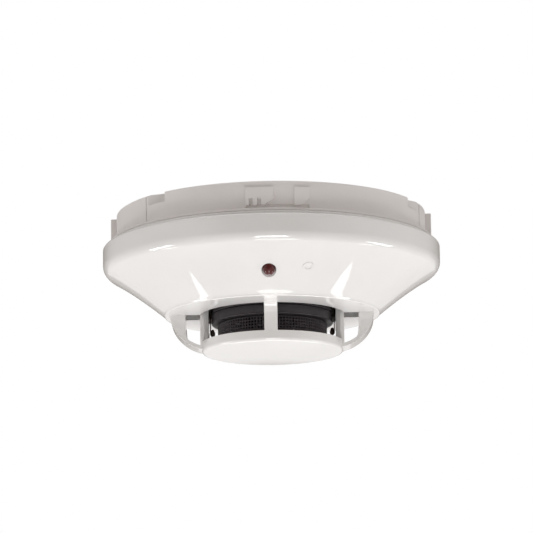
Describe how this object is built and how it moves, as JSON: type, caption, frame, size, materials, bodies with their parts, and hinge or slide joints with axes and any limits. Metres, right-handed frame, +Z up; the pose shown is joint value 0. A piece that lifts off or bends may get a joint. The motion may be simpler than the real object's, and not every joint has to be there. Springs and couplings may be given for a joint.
{
  "type": "ceiling smoke and heat detector",
  "caption": "Plug-in ceiling detector with a caged smoke chamber and heat beads, on a twist-lock mounting base.",
  "frame": {"origin": "centre of the mounting base's ceiling face", "axes": "+Z up into the ceiling along the detector's turned axis, -Y towards the front with the status LED, +X to the right seen from the front"},
  "size_m": [0.1272, 0.1272, 0.0536],
  "materials": {
    "cover_white": "glossy moulded",
    "base_white": "satin moulded",
    "chamber_black": "fine matt moulded",
    "screen_black": "fine woven screen, satin",
    "board_green": "solder mask over laminate",
    "package_black": "moulded package, matt",
    "plated_steel": "zinc or tin plated",
    "contact_brass": "bare, slightly rubbed",
    "sleeve_blue": "shrink sleeve",
    "clear_glass": "clear capsule",
    "led_red": "tinted clear epoxy",
    "bead_dark": "dipped epoxy, satin",
    "optic_dark": "infrared-clear epoxy"
  },
  "bodies": {
    "base": {"base_shell": "base_white", "contact_clip_1": "plated_steel", "clamp_plate_1": "plated_steel", "terminal_screw_1": "plated_steel", "contact_clip_2": "plated_steel", "clamp_plate_2": "plated_steel", "terminal_screw_2": "plated_steel", "contact_clip_3": "plated_steel", "clamp_plate_3": "plated_steel", "terminal_screw_3": "plated_steel", "contact_clip_4": "plated_steel", "clamp_plate_4": "plated_steel", "terminal_screw_4": "plated_steel"},
    "head": {"chassis": "base_white", "circuit_board": "board_green", "microcontroller": "package_black", "capacitor": "sleeve_blue", "reed_switch": "clear_glass", "status_led": "led_red", "led_spacer": "package_black", "thermistor_left": "bead_dark", "thermistor_right": "bead_dark", "chamber_base": "chamber_black", "chamber_cover": "chamber_black", "insect_screen": "screen_black", "infrared_emitter": "optic_dark", "photodiode": "optic_dark", "photodiode_shield": "plated_steel", "contact_blade_1": "contact_brass", "contact_blade_2": "contact_brass", "contact_blade_3": "contact_brass", "contact_blade_4": "contact_brass", "board_screw_1": "plated_steel", "board_screw_2": "plated_steel", "board_screw_3": "plated_steel"},
    "cover": {"outer_cover": "cover_white"}
  },
  "joints": [
    {"name": "head_twist", "type": "hinge", "parent": "base", "child": "head", "pos_m": [0, 0, 0], "axis": [0, 0, 1], "range_deg": [-18, 0]},
    {"name": "cover_release", "type": "slide", "parent": "head", "child": "cover", "axis": [0, 0, -1], "range_m": [0, 0.06]}
  ]
}
